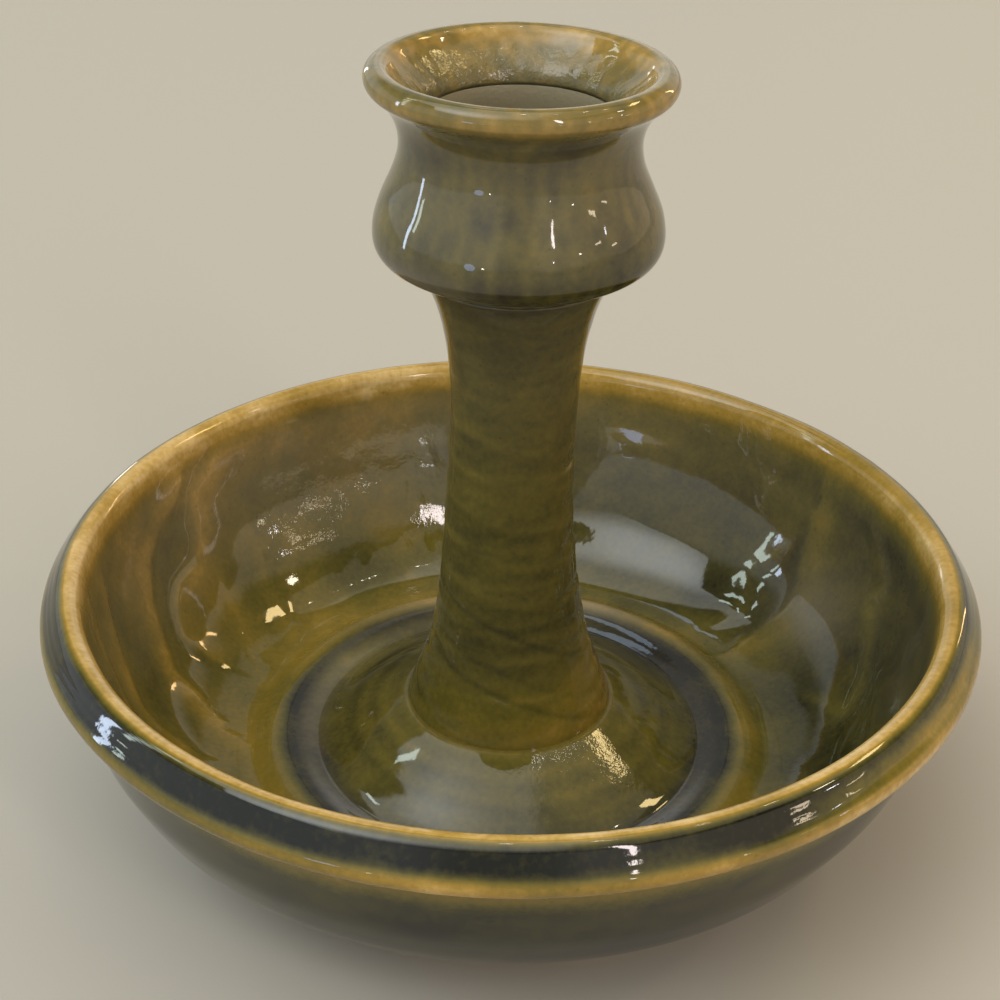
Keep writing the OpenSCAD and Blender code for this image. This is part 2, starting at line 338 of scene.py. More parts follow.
def fold_heights(angle, s, place):
    """Height of all folds, in mm. Each point reads how near the nearest stretch of a fold's path is."""
    total = np.zeros(len(s))
    for path, height, steep, soft in FOLDS:
        centre = path[len(path) // 2][0]
        lengths = inner_s(np.array([z for _, z in path]))
        radii = np.interp(lengths, dish_skin.along, dish_skin.points[:, 0])
        turns = np.radians([turn_from(a, centre) for a, _ in path])
        spots = np.stack([turns * radii, lengths], axis=1)
        across = np.radians(turn_from(angle, centre)) * place[:, 0]
        near = np.flatnonzero((np.abs(across) < FOLD_REACH) & (s > S_CREST_IN) & (s < S_GUTTER + 6))
        p = np.stack([across[near], s[near]], axis=1)
        best, side = np.full(len(near), FAR_AWAY), np.zeros(len(near))
        for a, b in zip(spots, spots[1:]):
            d = b - a
            t = np.clip((p - a) @ d / (d @ d), 0, 1)
            gap = p - a - t[:, None] * d
            away = np.hypot(*gap.T)
            closer = away < best
            best = np.where(closer, away, best)
            side = np.where(closer, d[1] * (p - a)[:, 0] - d[0] * (p - a)[:, 1], side)
        width = np.where(side * soft > 0, abs(soft), steep)
        total[near] += height * bell(best, width)
    return total * ramp(s, S_CREST_IN + 1, S_CREST_IN + 4) * (1 - ramp(s, S_GUTTER - 1, S_GUTTER + 4))


# %% Heights on the dish
def dish_clay_height(angle, s, place):
    """Finger marks in the clay: a slow spiral on both sides of the wall and rings on the domed floor."""
    spiral = angle / 360
    outer = 0.06 * np.sin(2 * pi * (s / 8.5 + spiral)) * ramp(s, 4, 12)
    outer *= 1 - ramp(s, S_WALL_TOP - 10, S_WALL_TOP)
    inner = 0.05 * np.sin(2 * pi * (s / 9.0 - spiral)) * ramp(s, S_CREST_IN + 4, S_CREST_IN + 12)
    inner *= 1 - ramp(s, S_GUTTER - 6, S_GUTTER)
    floor = 0.01 * np.sin(2 * pi * (s / 4.3 - spiral)) * ramp(s, S_WELL + 3, S_WELL + 7)
    floor *= 1 - ramp(s, dish_skin.length - 3, dish_skin.length)
    return outer + inner + floor


RIM_FOLD_ANGLE, RIM_LINES_MM = -46, 1.15


def rim_heights(angle, s):
    """The rolled rim: fine turning lines, and at the right a lower edge that stands up as a thin fold."""
    turn = turn_from(angle, RIM_FOLD_ANGLE)
    spread = ramp(turn, -26, -12) * (1 - ramp(turn, 16, 30))
    fold = 0.28 * bell(s - (S_EDGE + 1.2 + 0.012 * turn), 0.7)
    slit = 0.3 * bell(s - (S_EDGE + 2.9), 0.5) * facing(angle, -42, 6)
    left = 0.10 * bell(s - (S_EDGE + 1.7), 0.6) * facing(angle, -138, 16)
    wander = s + 0.35 * np.sin(np.radians(angle) * 3) + 0.15 * np.sin(np.radians(angle) * 11)
    depth = 0.016 + 0.02 * facing(angle, -168, 26)
    lines = depth * np.sin(2 * pi * wander / RIM_LINES_MM) * bell(s - S_BAND, 1.5)
    return (fold - slit) * spread + left + lines


# A dent on the inside of the rim, at the back left
DENT_ANGLE, DENT_R = 115, 64


def dish_glaze_height(angle, s, place, points):
    """The glaze's own swells, on top of its even coat, and the rise of the floor towards the stem."""
    wall = ramp(s, S_CREST_IN, S_CREST_IN + 6) * (1 - ramp(s, S_GUTTER - 3, S_GUTTER + 2))
    rim = ramp(s, S_WALL_TOP - 6, S_WALL_TOP) * (1 - wall) * (1 - ramp(s, S_RING - 3, S_RING))
    floor = ramp(s, S_WELL + 2, S_WELL + 5)
    pitted = facing(angle, 119, 19) * wall * (1 - ramp(s, inner_s(12), inner_s(9)))
    beaded = facing(angle, 40, 7) * wall
    calm = 1 - 0.8 * facing(angle, 42, 13)
    height = run_heights(angle, s, place) + fold_heights(angle, s, place)
    height += (0.22 * ripples(points, 26, 2) * calm + 0.012 * ripples(points, 8, 3)) * wall
    height += 0.03 * ripples(points, 3.2, 5) * pitted + 0.006 * ripples(points, 2.2, 6) * beaded
    height += (0.05 * ripples(points, 30, 7) + 0.010 * ripples(points, 7, 8)) * rim
    height += 0.02 * ripples(points, 12, 9) * floor
    height += 1.3 * np.exp((s - dish_skin.length) / 5.2) * ramp(s, S_WELL + 1, S_WELL + 8)
    height += 0.3 * bell(s - S_WELL, 1.1)
    round_dent = np.radians(turn_from(angle, DENT_ANGLE)) * DENT_R
    height -= 0.40 * bell(round_dent, 1.3) * bell(s - S_CREST_IN, 1.4)
    return height + rim_heights(angle, s)


def moved_out(points, out, rise):
    """Points moved outwards and up by some mm each."""
    x, y, z = points.T
    wider = 1 + out / np.maximum(np.hypot(x, y), 1)
    return np.stack([x * wider, y * wider, z + rise], axis=1)


def dish_warp(points):
    """The whole dish a little out of true.

    It is an oval, its rim rises and falls, the wall is fuller at the left front, and the floor is
    drawn in round the stem.
    """
    x, y, z = points.T
    angle = np.arctan2(y, x)
    r = np.hypot(x, y)
    up = ramp(z, 8, 40) * ramp(r, 40, 60)
    out = 0.25 * np.cos(2 * (angle - radians(20))) * up
    out += 0.9 * facing(np.degrees(angle), -150, 42) * bell(z - 17, 11) * ramp(r, 44, 52)
    out -= 0.33 * np.maximum(z - DOME_H, 0) * (r < COIL_R + 4)
    rise = (0.18 * np.cos(angle - radians(250)) + 0.12 * np.cos(3 * angle + 0.6)) * up
    return moved_out(points, out, rise)


# %% [markdown]
# ### Marks on the stem and the cup
# The stem was pulled tall between two fingers, which left soft rings, and it was twisted low down, which
# left three steep creases. The cup is nearly smooth, and its funnel carries fine streaks where the glaze
# drained into the throat. Sculpting by hand could make such marks. As sums of waves and bells they
# can be moved by one number, and they join up behind the stem.


# %% Rings and creases of the stem
STEM_RING_MM = 6.2


def stem_rings(angle, z):
    """The fingers' rings, from 0 between two to 1 on a ridge."""
    turn = z / STEM_RING_MM + 0.22 * np.cos(np.radians(angle + 40)) + angle / 360
    return (0.5 + 0.5 * np.sin(2 * pi * turn)) ** 5 * ramp(z, 27, 36) * (1 - 0.7 * ramp(z, 60, 70))


# Creases where the column was twisted: height at the right, and depth, where 1 is the deepest
CREASES = ((25.8, 0.8), (15.6, 1.0), (19.2, 0.5))
CREASE_CLIMB = 0.088


def stem_creases(angle, z):
    """The creases, from 0 to 1. They run round the front of the column, and climb to the left."""
    total = np.zeros(len(z))
    front = turn_from(angle, -90)
    seen = ramp(front, -90, -60) * (1 - ramp(front, 55, 85))
    for start, share in CREASES:
        middle = start - CREASE_CLIMB * turn_from(angle, 0) + 0.5 * np.sin(np.radians(3 * angle))
        total += share * bell(z - middle, 0.55) * seen
    return total


# %% Heights on the stem and the cup
# Dents where a finger slipped at the right of the column: height, half width, depth, angle
FINGER_DENTS = (
    (59.6, 0.8, 0.42, -12), (46.3, 0.8, 0.50, -12), (53.4, 0.7, 0.34, -8), (38.5, 0.8, 0.40, -14))
FINGER_TURN = 26


def stem_clay_height(angle, s, place):
    """Rings, creases, the fine turning lines of the foot and the dents."""
    z = place[:, 1]
    total = 0.08 * stem_rings(angle, z) - 0.12 * stem_creases(angle, z)
    total += 0.03 * np.sin(2 * pi * (z / 3.1 + angle / 360)) * ramp(z, 17, 20) * (1 - ramp(z, 30, 44))
    for height, width, depth, at in FINGER_DENTS:
        total -= depth * bell(z - height, width) * facing(angle, at, FINGER_TURN)
    return total * ramp(s, 1, 4)


def stem_glaze_height(angle, s, place, points):
    """Soft swells that fade out at both joints."""
    end = stem_skin.length
    return 0.02 * ripples(points, 7, 13) * ramp(s, 1, 5) * (1 - ramp(s, end - 4, end - 1))


def stem_warp(points):
    """The column leans a little to the left between its foot and the cup."""
    lean = -0.5 * bell(points[:, 2] - 48, 16)
    return points + np.outer(lean, (1, 0, 0))


def cup_clay_height(angle, s, place):
    """A trace of the fingers' spiral on the belly."""
    z = place[:, 1]
    return 0.012 * np.sin(2 * pi * (z / 4.2 + angle / 360)) * ramp(z, 94, 98) * (1 - ramp(z, 104, 110))


def cup_glaze_height(angle, s, place, points):
    """Soft swells on the body, and the streaks of glaze that drained down the funnel."""
    end = cup_skin.length
    funnel = ramp(s, end - 9, end - 6) * (1 - ramp(s, end - 2, end))
    body = ramp(s, 2, 6) * (1 - ramp(s, S_NECK, S_NECK + 4))
    streaks = 0.018 * np.sin(np.radians(angle) * 31 + 2 * np.sin(np.radians(angle) * 7)) * funnel
    streaks += 0.016 * ripples(points * (1, 1, 0.25), 1.5, 24) * funnel
    swells = (0.022 * ripples(points, 14, 21) + 0.003 * ripples(points, 5, 22)) * body
    return swells + streaks + 0.02 * ripples(points, 2.6, 23) * funnel


def cup_warp(points):
    """A lip that is a little oval, and higher at the left."""
    x, y, z = points.T
    angle = np.arctan2(y, x)
    r = np.hypot(x, y)
    up = ramp(z, 104, 116)
    out = 0.12 * np.cos(2 * angle) * up * ramp(r, 11, 14)
    rise = 0.18 * np.cos(angle - radians(165)) * up * ramp(r, 12, 15)
    return moved_out(points, out, rise)


# %% [markdown]
# ## Throwing a piece
# A turned piece could be made by the Screw modifier or from a lathe curve. Here it is made as on the wheel:
# a ring of points is laid on the outline of the clay, and the ring is spun about the axis. Each
# vertex carries two notes through the spin, its length along the skin and how deep it lies under
# the glaze. The marks above then move it, which no operator can do.


# %% Lay an outline and spin it
def lay_outline(name, points):
    """A ring of as many points as the outline has, laid on its (radius, height) points in mm."""
    bpy.ops.object.select_all(action="DESELECT")
    bpy.ops.mesh.primitive_circle_add(vertices=len(points), radius=RIM_R * MM)
    piece = bpy.context.object
    piece.name = piece.data.name = name
    move_to(piece, [(r, 0, z) for r, z in points])
    return piece


def note(piece, name, values):
    """A number on each vertex, which goes with it through the spin."""
    layer = piece.data.attributes.get(name) or piece.data.attributes.new(name, "FLOAT", "POINT")
    layer.data.foreach_set("value", np.asarray(values, np.float32))


def read_note(piece, name):
    """The numbers of one note, vertex by vertex."""
    values = np.zeros(len(piece.data.vertices), np.float32)
    piece.data.attributes[name].data.foreach_get("value", values)
    return values.astype(float)


def places_of(piece):
    """The places of a piece's vertices, in mm."""
    values = np.zeros(len(piece.data.vertices) * 3, np.float32)
    piece.data.vertices.foreach_get("co", values)
    return values.reshape(-1, 3).astype(float) / MM


def move_to(piece, points):
    """Put a piece's vertices at points in mm."""
    piece.data.vertices.foreach_set("co", (np.asarray(points) * MM).astype(np.float32).ravel())
    piece.data.update()


SAME_PLACE = 2e-6


def spin(piece, turns):
    """Sweep the ring once round the axis, join its ends and point the faces outwards."""
    bpy.ops.object.select_all(action="DESELECT")
    piece.select_set(True)
    bpy.context.view_layer.objects.active = piece
    bpy.ops.object.mode_set(mode="EDIT")
    bpy.ops.mesh.select_all(action="SELECT")
    bpy.ops.mesh.spin(steps=turns, angle=2 * pi, center=(0, 0, 0), axis=(0, 0, 1), use_auto_merge=False)
    bpy.ops.mesh.select_all(action="SELECT")
    bpy.ops.mesh.remove_doubles(threshold=SAME_PLACE)
    bpy.ops.mesh.delete_loose()
    bpy.ops.mesh.select_all(action="SELECT")
    bpy.ops.mesh.normals_make_consistent(inside=False)
    bpy.ops.object.mode_set(mode="OBJECT")


# %% Shape a thrown piece
OFF_SKIN = -1


def throw(name, outline, turns, skin, clay_height, glaze_height, warp):
    """Spin an outline and press the marks into it.

    A row of the outline is its radius, its height, its length along the skin, and its depth under
    the glaze, from 0 on top of it to 1 on the clay.
    """
    piece = lay_outline(name, [(row[0], row[1]) for row in outline])
    note(piece, "along", [row[2] for row in outline])
    note(piece, "depth", [row[3] for row in outline])
    spin(piece, turns)
    points, along, depth = places_of(piece), read_note(piece, "along"), read_note(piece, "depth")
    angle = np.degrees(np.arctan2(points[:, 1], points[:, 0]))
    on = along > OFF_SKIN + 0.5
    place, normal = skin.at(along)
    height = clay_height(angle, along, place) + (1 - depth) * glaze_height(angle, along, place, points)
    height = np.where(on, height, 0)
    r = np.maximum(np.hypot(points[:, 0], points[:, 1]), 1e-9)
    push = np.stack([normal[:, 0] * points[:, 0] / r, normal[:, 0] * points[:, 1] / r, normal[:, 1]], axis=1)
    move_to(piece, warp(points + push * height[:, None]))
    bpy.ops.object.shade_smooth()
    print(name, len(piece.data.vertices), "vertices,", len(piece.data.polygons), "faces")
    return piece, angle, np.where(on, along, 0), place


# %% Rows of points along the skin
def stations(skin, spacing, most_turn=9):
    """Lengths along the skin, closer together where it is curved.

    spacing is in mm, or a table of (length, mm). most_turn is the most degrees between two of them.
    """
    s = skin.along
    heading = np.unwrap(np.arctan2(skin.normals[:, 1], skin.normals[:, 0]))
    bend = np.degrees(np.abs(np.gradient(heading, s)))
    step = spacing if np.isscalar(spacing) else steps(s, spacing)
    crowd = np.maximum(1 / step, bend / most_turn)
    crowd = np.convolve(np.pad(crowd, 2, mode="edge"), np.ones(5) / 5, mode="valid")
    count = np.concatenate([[0], np.cumsum((crowd[1:] + crowd[:-1]) / 2 * np.diff(s))])
    return np.interp(np.linspace(0, count[-1], int(np.ceil(count[-1])) + 1), count, s)


# Under the glaze the rows may turn by more degrees, and no coat is thinner than this, in mm.
UNDER_TURN, THINNEST = 20, 0.02


def glaze_outline(skin, coat, spacing, under_spacing):
    """A closed outline of a coat: its surface, and back along the clay under it."""
    rows = [(*skin.at(s)[0], s, 0) for s in stations(skin, spacing)]
    for s in stations(skin, under_spacing, UNDER_TURN)[::-1]:
        place, normal = skin.at(s)
        thickness = coat(s)
        if thickness > THINNEST:
            rows.append((*(place - normal * thickness), s, 1))
    return rows


def clay_rows(skin, coat, spacing, start, end):
    """The clay's surface under the glaze, from one length along the skin to another."""
    rows = []
    for s in [start, *(s for s in stations(skin, spacing, UNDER_TURN) if start < s < end), end]:
        place, normal = skin.at(s)
        rows.append((*(place - normal * coat(s)), s, 1))
    return rows


def off_skin(points, spacing=2.5):
    """Rows through points away from the skin, with more between them where they are far apart."""
    rows = [(*points[0], OFF_SKIN, 1)]
    for a, b in zip(points, points[1:]):
        a, b = np.array(a, float), np.array(b, float)
        n = max(1, round(np.linalg.norm(b - a) / spacing))
        rows += [(*(a + (b - a) * i / n), OFF_SKIN, 1) for i in range(1, n + 1)]
    return rows


# %% [markdown]
# ### A coat of glaze
# The glaze is a shell half a millimetre thick that is fused to the clay, thinner where it ran off a crest.
# A Solidify modifier would give an even shell. Here a coat is a closed outline instead, out along its
# surface and back along the clay under it, so its thickness can change along the way.


# %% Coats of glaze
def thinned(distance):
    """The coat near a crest, which it ran off while it was molten."""
    return GLAZE_T * (1 - 0.5 * bell(distance, 1.6))


def dish_coat(s):
    """Over the dish it is thin on crests, deep on the inner wall and in the well, and ends at the foot."""
    place = dish_skin.at(s)[0]
    thin = min(thinned(s - S_CREST), thinned(s - S_EDGE), thinned(s - S_RING))
    deep = 0.4 * ramp(s, S_CREST_IN + 2, S_CREST_IN + 8) * (1 - ramp(s, S_GUTTER + 2, S_RING))
    return min(s / 2, 1) * (thin + deep + 0.7 * bell(place[0] - WELL[0], 3))


def stem_coat(s):
    """Even all over the stem."""
    return GLAZE_T


S_LIP = cup_skin.where(lip_c + polar(LIP_R, 90))


def cup_coat(s):
    """Thin on the lip, and it ends within the last millimetre before the throat."""
    return thinned(s - S_LIP) * min(cup_skin.length - s, 1)


# %% [markdown]
# ### The dish
# The dish was thrown from one ball of clay: a wall pulled up and out, a rim rolled over, and a floor pushed
# up into a dome. Half a sphere could be scaled to a bowl, but the rim and the ring need roundings of their
# own, so its glaze and its clay are two closed outlines that share the same marks.

# %% Throw the dish
DISH_TURNS, STEM_TURNS, CUP_TURNS = 440, 280, 300
DISH_SPACING = [
    (0, 1.9), (S_WALL_TOP - 6, 1.6), (S_WALL_TOP, 0.8), (S_EDGE + 1, 0.8), (S_EDGE + 1.5, 0.34),
    (S_CREST - 1, 0.34), (S_CREST, 0.8), (S_CREST_IN, 0.8), (S_CREST_IN + 4, 0.95), (dish_skin.length, 0.95)]
dish_marks = (dish_skin, dish_clay_height, dish_glaze_height, dish_warp)
dish_glaze, dish_angle, dish_along, dish_place = throw(
    "dish_glaze_coat", glaze_outline(dish_skin, dish_coat, DISH_SPACING, 4.0), DISH_TURNS, *dish_marks)
FLOOR_H = DOME_H - GLAZE_T
foot_in = FOOT_R - FOOT_W
foot_points = [(VENT_R, FOOT_RECESS), (foot_in - FOOT_RECESS, FOOT_RECESS), (foot_in, 0), (foot_in + 0.8, 0),
               (FOOT_R - 1.9, 0), (FOOT_R - FOOT_RECESS / 2, 0), (FOOT_R, FOOT_RECESS / 2)]
dish_rows = off_skin(foot_points) + clay_rows(dish_skin, dish_coat, 4.0, 0, dish_skin.length)
dish_rows += off_skin([(COIL_R - 1, FLOOR_H), (VENT_R, FLOOR_H)])
dish_rows += off_skin([(VENT_R, FLOOR_H), (VENT_R, FOOT_RECESS)])[1:-1]
dish_body, *_ = throw("dish_body", dish_rows, DISH_TURNS, *dish_marks)

# %% [markdown]
# ### The stem and its coil
# The stem is a hollow column that was pulled up between two hands, closed at the top, and set on the floor
# in a coil of soft clay. Rings pulled in on a cylinder could give its waist. The drawn outline gives
# it exactly, and lets one coat of glaze run over the coil and the column.

# %% Throw the stem and its coil
stem_marks = (stem_skin, stem_clay_height, stem_glaze_height, stem_warp)
stem_glaze, stem_angle, stem_along, stem_place = throw(
    "stem_glaze_coat", glaze_outline(stem_skin, stem_coat, 0.45, 2.0), STEM_TURNS, *stem_marks)
S_COIL_TOP = stem_skin.where(STEM_FOOT)
BORE_R, STEM_CAP, STEM_BED_H, STEM_TOP_H = 4, 6, FLOOR_H + SLIP_T, JOINT_H - SLIP_T / 2
foot_under = clay_rows(stem_skin, stem_coat, 2.0, S_COIL_TOP, S_COIL_TOP + 1)[0]
stem_rows = off_skin([(BORE_R, STEM_BED_H), (foot_under[0], STEM_BED_H), (foot_under[0], foot_under[1] - 1)])
stem_rows += clay_rows(stem_skin, stem_coat, 2.0, S_COIL_TOP, stem_skin.where((JOINT_R, STEM_TOP_H)))
bore_top = STEM_TOP_H - STEM_CAP
bore_points = [(0, STEM_TOP_H), (0, bore_top), (BORE_R, bore_top - BORE_R), (BORE_R, STEM_BED_H)]
stem_rows += off_skin(bore_points)[:-1]
stem_body, *_ = throw("stem_body", stem_rows, STEM_TURNS, *stem_marks)
coil_rows = off_skin([(foot_under[0], FLOOR_H), (COIL_R - GLAZE_T, FLOOR_H)])
coil_rows += clay_rows(stem_skin, stem_coat, 2.0, 0.6, S_COIL_TOP)
coil_rows += off_skin([foot_under[:2], (foot_under[0], FLOOR_H)])[1:-1]
coil_body, *_ = throw("foot_coil_body", coil_rows, STEM_TURNS, *stem_marks)

# %% [markdown]
# ### The cup
# The cup has a belly, a neck and a rolled lip, and inside them a funnel, a straight throat for the candle
# and a wider hollow with a flat floor. A boolean could cut the inside out. One outline that goes over
# the lip and down to the floor needs no cut, and its faces stay even.

# %% Throw the cup
cup_marks = (cup_skin, cup_clay_height, cup_glaze_height, cup_warp)
cup_glaze, cup_angle, cup_along, _ = throw(
    "cup_glaze_coat", glaze_outline(cup_skin, cup_coat, 0.5, 1.5), CUP_TURNS, *cup_marks)
cup_floor_h = CUP_FOOT[1] + CUP_FLOOR
throat_foot = (SOCKET_R, THROAT[1] - THROAT_L)
cavity_side = (BELLY_R - GLAZE_T - CUP_WALL, cup_floor_h + 0.3 * (throat_foot[1] - cup_floor_h))
cavity = curve(throat_foot, 270, cavity_side, 270, n=8)
cavity += curve(cavity_side, 270, (SOCKET_R - CUP_WALL / 2, cup_floor_h), 180, n=10)[1:]
cup_rows = off_skin([(0, CUP_FOOT[1]), (JOINT_R - GLAZE_T, CUP_FOOT[1])])
cup_rows += clay_rows(cup_skin, cup_coat, 1.5, 1.2, cup_skin.length)
cup_rows += off_skin([THROAT, throat_foot])[1:] + [(*p, OFF_SKIN, 1) for p in cavity[1:]]
cup_rows += off_skin([cavity[-1], (0, cup_floor_h)])[1:]
cup_body, *_ = throw("cup_body", cup_rows, CUP_TURNS, *cup_marks)
x, y, z = places_of(cup_body).T
inside_cup = np.hypot(x, y) < BELLY_R - GLAZE_T - CUP_WALL + 0.5
note(cup_body, "wash", inside_cup * ramp(z, cup_floor_h - 0.5, cup_floor_h - 0.1))

# %% [markdown]
# ## How thick the glaze looks, and painted light
# An olive glaze is stained glass over buff clay. Where it ran thin it shows amber, where it stands thick
# it is nearly black green. A glass shader over a clay mesh would do that, but it is slow and noisy, so
# each vertex gets a number from 0, bare and amber, to 1, a deep pool, and the colour reads it. In places
# the same number carries painted light: painted shade on the outer wall, a painted dark reflection on
# the rolled rim, painted highlights on the folds and the stem, and a painted reflection low on the cup.


# %% Thickness and painted light notes
def note_pool(piece, values):
    """How thick the glaze looks, with painted light in places, kept from 0 to 1."""
    note(piece, "pool", np.clip(values, 0, 1))
    print(piece.name, "looks on average", round(float(values.mean()), 2), "thick")


points = places_of(dish_glaze)
# The outer wall, from near the foot up to just under the rim, is set nearly black: painted shade, as it faces
# down away from the light. The band on the rolled rim between its edge and its crest is set black: a painted
# dark reflection.
dish_pool = steps(dish_along, [
    (0, 0.5), (2, 0.85), (6, 0.97), (S_WALL_TOP - 4, 0.93), (S_WALL_TOP - 2.5, 0.74), (S_WALL_TOP - 1, 0.5),
    (S_WALL_TOP + 1, 0.34), (S_EDGE - 1, 0.28), (S_EDGE + 0.5, 0.26), (S_EDGE + 1.2, 0.45),
    (S_EDGE + 1.9, 0.85), (S_EDGE + 3, 1.0), (S_CREST - 1.6, 0.97), (S_CREST - 1.0, 0.72),
    (S_CREST - 0.5, 0.36), (S_CREST, 0.06), (S_CREST_IN, 0.06), (S_CREST_IN + 1.4, 0.14),
    (S_CREST_IN + 2.6, 0.4), (S_CREST_IN + 7, 0.56), (S_CREST_IN + 13, 0.66), (S_GUTTER - 8, 0.7),
    (S_GUTTER - 1, 0.58), (S_RING - 2, 0.4), (S_RING + 0.5, 0.42), (S_RING + 2.0, 0.85), (S_RING + 3.0, 0.97),
    (S_WELL - 0.5, 0.97), (S_WELL + 0.6, 0.9), (S_WELL + 2.0, 0.76), (S_WELL + 6, 0.68),
    (dish_skin.length - 3, 0.62), (dish_skin.length, 0.56)])
dish_folds = fold_heights(dish_angle, dish_along, dish_place)
# Runs make the glaze look thicker; folds make it paler: partly thinner glaze on their crests, partly painted
# highlight.
dish_pool += 0.25 * run_heights(dish_angle, dish_along, dish_place) - 0.35 * dish_folds
dish_pool += 0.05 * ripples(points, 16, 31) + 0.02 * ripples(points, 5, 33)

# %% Thickness that changes round the dish, and painted highlights on the folds
on_wall = ramp(dish_along, S_CREST_IN + 3, S_CREST_IN + 9) * (1 - ramp(dish_along, S_GUTTER, S_GUTTER + 4))
on_edge = bell(dish_along - S_EDGE + 0.6, 2.4)
in_band = bell(dish_along - S_BAND, 1.5)
on_ring = bell(dish_along - S_RING, 2.6)
in_well = bell(dish_along - S_WELL + 1.2, 2.4)
on_crest = bell(dish_along - S_CREST, 2.6)
under_crest = bell(dish_along - S_CREST_IN - 5.5, 3.2)
on_floor = ramp(dish_along, S_WELL + 3, S_WELL + 6)
# Where along the outline, how much thicker, round which angle, and how wide
for where, thicker, angle, width in (
        (on_wall, 0.15, 10, 45), (on_wall, -0.08, 165, 42), (on_wall, -0.12, 120, 18),
        (on_edge, 0.20, -145, 38), (on_edge, -0.20, -46, 26), (on_edge, 0.16, 5, 25),
        (in_band, -0.55, -30, 22), (in_band, -0.35, 60, 60), (on_ring, -0.30, 92, 34),
        (on_floor, 0.20, 140, 40), (on_crest, 0.20, 40, 70), (in_well, -0.30, 140, 50),
        (under_crest, 0.18, 15, 55), (under_crest, -0.18, 125, 40)):
    dish_pool += thicker * where * facing(dish_angle, angle, width)
dish_pool += 0.06 * on_edge * ripples(points, 22, 35) - 0.08 * in_band * ripples(points, 18, 36)
dish_pool += 0.10 * on_ring + 0.06 * under_crest - 0.05 * on_floor * np.sin(2 * pi * dish_along / 3.9)
# A narrow paler line on each fold's crest: partly thinner glaze, partly painted highlight.
dish_pool -= 0.12 * np.clip(dish_folds / 0.3, 0, 1) ** 4
note_pool(dish_glaze, dish_pool)

# %% Thickness on the stem and the cup, with painted highlight and reflection
STEM_GLAZE_AND_SHEEN_LINES_MM = 6
points, z = places_of(stem_glaze), stem_place[:, 1]
stem_pool = steps(z, [
    (15.5, 0.54), (17, 0.48), (22, 0.56), (34, 0.75), (60, 0.69), (74, 0.71), (86, 0.77), (88.3, 0.85)])
stem_pool += 0.11 * stem_creases(stem_angle, z) - 0.06 * stem_rings(stem_angle, z)
# Pale lines every 6 mm round the stem: partly thinner glaze, partly painted highlight.
stem_pool -= 0.04 * bell(turn_from(z / STEM_GLAZE_AND_SHEEN_LINES_MM * 360, 0), 30)
stem_pool += 0.03 * ripples(points, 14, 37) + 0.03 * ripples(points * (0.25, 0.25, 1), 2.2, 39)
near_foot = 1 - ramp(z, 20, 34)
stem_pool += (0.17 * facing(stem_angle, 180, 60) - 0.15 * facing(stem_angle, -5, 50)) * near_foot
note_pool(stem_glaze, stem_pool)

points = places_of(cup_glaze)
cup_pool = steps(cup_along, [
    (0, 0.9), (0.8, 0.56), (3, 0.58), (S_BELLY - 1, 0.74), (S_BELLY + 4, 0.68), (S_NECK - 2, 0.68),
    (S_NECK + 1, 0.74), (S_NECK + 6, 0.76), (S_LIP - 4.6, 0.5), (S_LIP - 3.4, 0.26), (S_LIP - 2, 0.36),
    (S_LIP - 0.6, 0.44), (S_LIP + 0.4, 0.4), (S_LIP + 1.4, 0.2), (S_LIP + 2.4, 0.22), (S_LIP + 4, 0.4),
    (cup_skin.length - 3, 0.5), (cup_skin.length, 0.6)])
cup_pool += 0.05 * ripples(points, 9, 41) + 0.06 * ripples(points * (1, 1, 0.3), 2.4, 43)
cup_pool += 0.18 * bell(cup_along - S_BELLY + 3, 4)
# Paler low on the cup at the left: painted reflection.
cup_pool -= 0.14 * bell(cup_along - 3, 3) * facing(cup_angle, -140, 35)
cup_pool += 0.14 * bell(cup_along - S_LIP + 0.5, 3) * facing(cup_angle, -140, 75)
note_pool(cup_glaze, cup_pool)

# %% [markdown]
# ### Milky veils, painted reflections and scars
# Where glaze cools slowly it turns a little milky, like breath on a window. On the upper walls of the dish
# that grey is partly milky glaze and partly painted reflection; at the back of the ring, in the well, on a
# wedge low on the right wall and under the cup's belly at the left it is painted reflection. In some places
# its skin is scarred: pitted on the back wall, where gas broke through, mottled on the floor in front, and
# scratched in the funnel by old candles. Both could be drawn as pictures. Two more numbers on each vertex
# are simpler, and follow the shape.

# %% Veil and painted reflection notes
# Greyer on the upper walls, most at the back left: partly milky glaze, partly painted reflection.
veil_and_reflection_round = 0.8 + 0.5 * facing(dish_angle, 138, 45) - 0.3 * facing(dish_angle, 10, 50)
z = places_of(dish_glaze)[:, 2]
veil_and_reflection = veil_and_reflection_round * ramp(z, 12, 30) * ramp(dish_along, S_CREST_IN, S_CREST_IN + 5)
# Greyer in the well all round: painted reflection.
veil_and_reflection += 0.35 * in_well
# Where along the outline, how much greyer, round which angle, and how wide: painted reflections at the back
# of the ring, in the well at the back left, and on a wedge low on the right wall.
for where, more_veil_and_reflection, angle, width in (
        (on_ring, 2.2, 92, 36), (on_ring, 1.2, 68, 14), (in_well, 0.7, 150, 60),
        (on_wall * bell(z - 18, 6), 1.5, 24, 9)):
    veil_and_reflection += more_veil_and_reflection * where * facing(dish_angle, angle, width)
note(dish_glaze, "veil_and_reflection", veil_and_reflection)
z = places_of(stem_glaze)[:, 2]
note(stem_glaze, "veil_and_reflection", 0.2 * ramp(z, 20, 30) + 0.5 * ramp(z, 50, 86))
z = places_of(cup_glaze)[:, 2]
